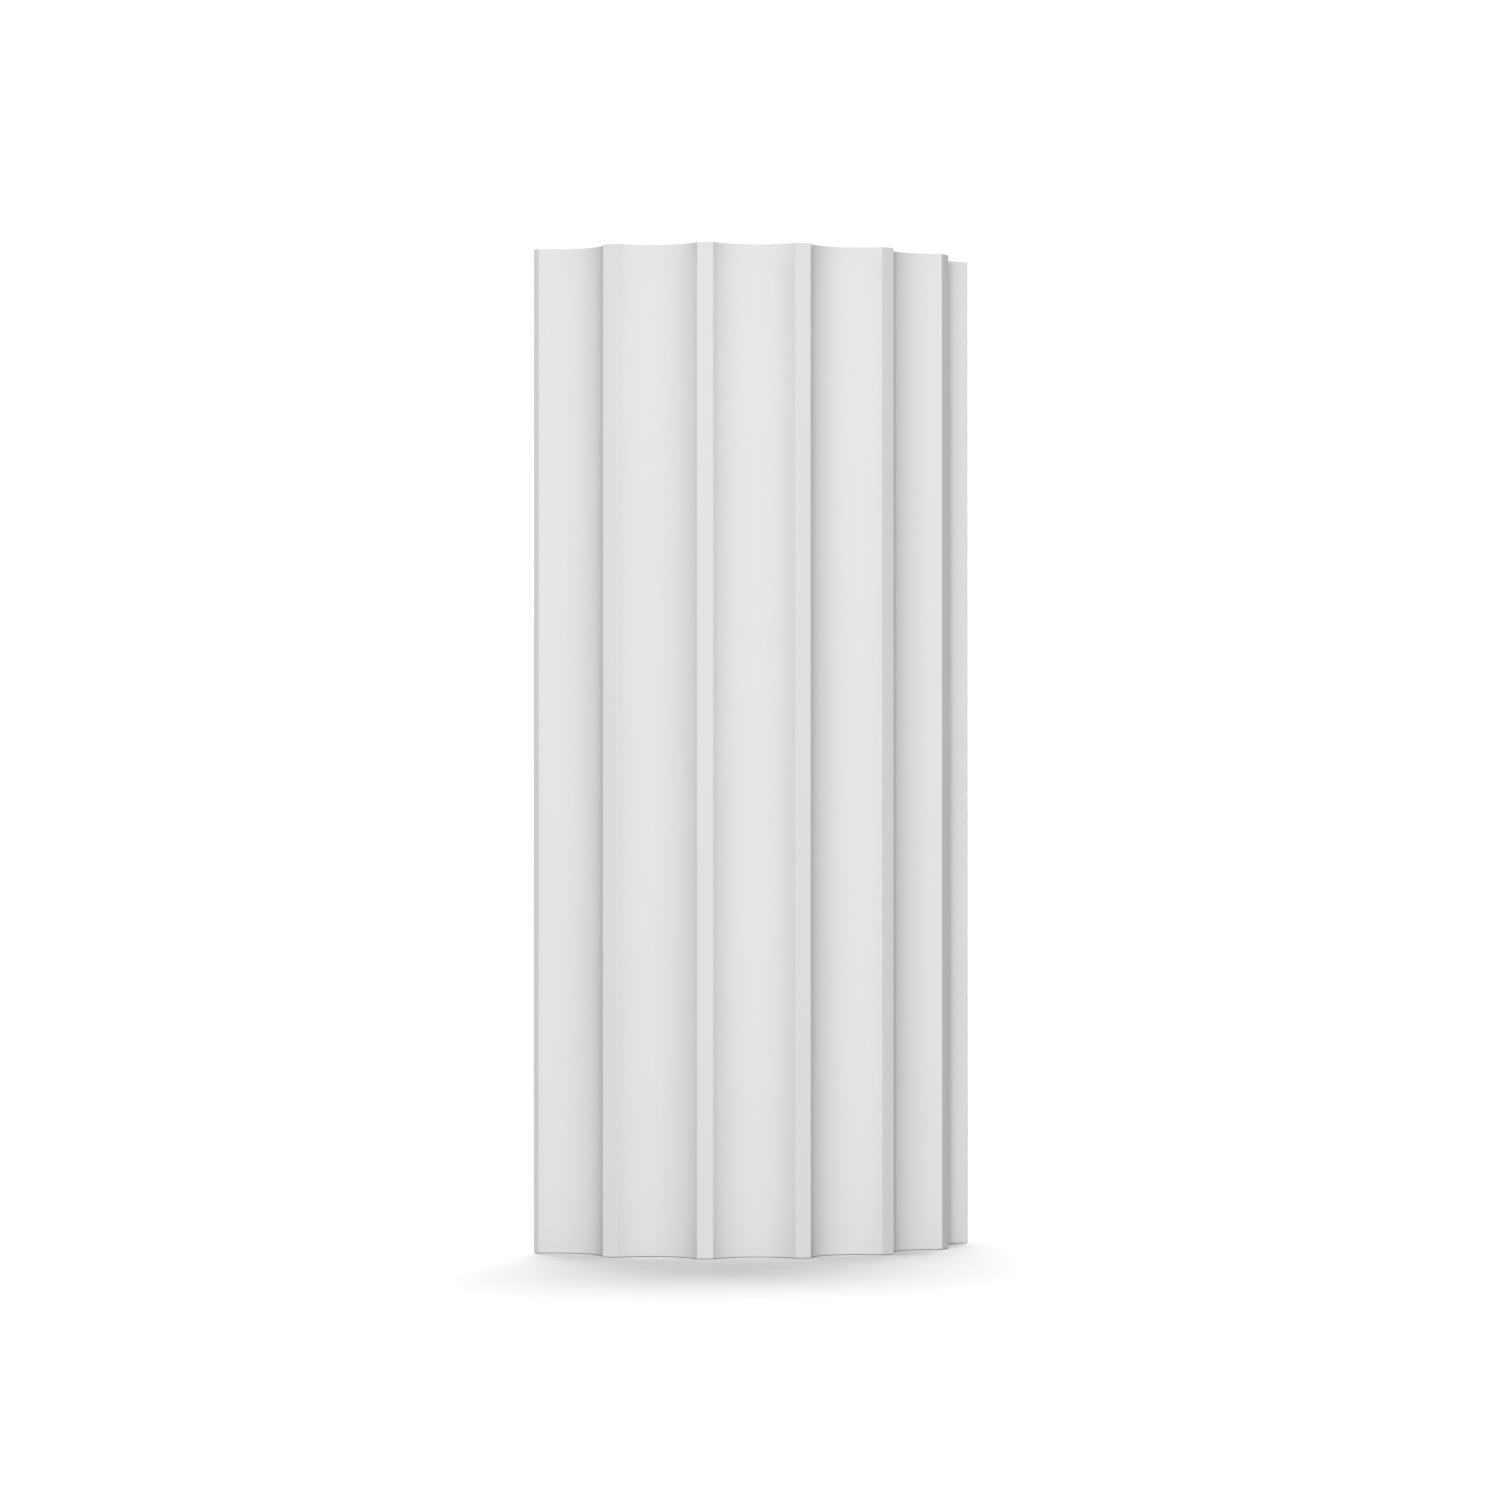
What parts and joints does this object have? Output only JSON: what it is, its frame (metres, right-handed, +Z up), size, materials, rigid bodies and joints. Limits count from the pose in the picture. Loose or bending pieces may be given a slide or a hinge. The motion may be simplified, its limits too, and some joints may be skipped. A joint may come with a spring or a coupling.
{
  "type": "half column shaft",
  "caption": "Fluted half-round column shaft with narrow fillets, a flat back for a wall and square-cut ends, in primed moulding.",
  "frame": {"origin": "middle of the underside's bounding box, so the flat back is half a shaft radius behind it", "axes": "+Z up along the shaft, -Y out of the fluted front, +Y into the wall behind the flat back, +X to the right as one faces the flutes"},
  "size_m": [0.25, 0.125, 0.5],
  "materials": {
    "primed_moulding": "matt white primer on smooth moulded hard foam, ready to paint"
  },
  "bodies": {
    "root": {"half_column_shaft": "primed_moulding"}
  },
  "joints": []
}
